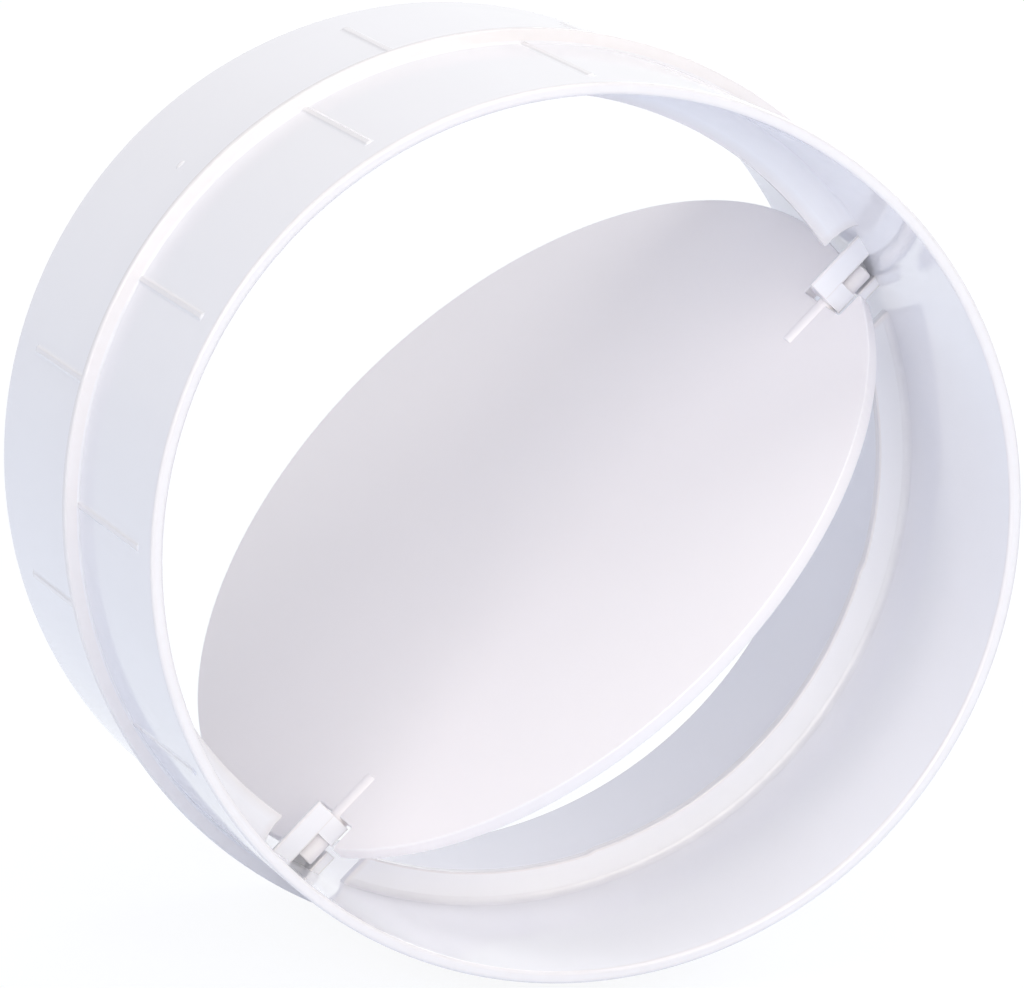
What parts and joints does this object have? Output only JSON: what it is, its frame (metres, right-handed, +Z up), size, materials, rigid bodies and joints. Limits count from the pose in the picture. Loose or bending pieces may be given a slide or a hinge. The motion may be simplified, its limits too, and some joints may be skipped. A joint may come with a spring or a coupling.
{
  "type": "duct backdraft damper",
  "caption": "Round plastic duct damper: spigots either side of a thin stop flange, with an off-centre flap that swings on a hinge line inside the bore to stop air flowing back.",
  "frame": {"origin": "on the duct axis, where the straight wall of the rear spigot begins, just inside the round of its rim", "axes": "+Y along the duct axis, out of the rear spigot; -Y out of the front spigot towards the viewer; +Z up; the hinge line is rolled 45 degrees from +X towards +Z"},
  "size_m": [0.154, 0.136, 0.154],
  "materials": {
    "housing_plastic": "smooth glossy white moulding",
    "flap_plastic": "smooth satin white moulding"
  },
  "bodies": {
    "housing": {"housing": "housing_plastic"},
    "flap": {"flap": "flap_plastic"}
  },
  "joints": [
    {"name": "flap_hinge", "type": "hinge", "parent": "housing", "child": "flap", "pos_m": [0.014, -0.0447, -0.014], "axis": [0.7071, 0, 0.7071], "range_deg": [0, 78]}
  ]
}
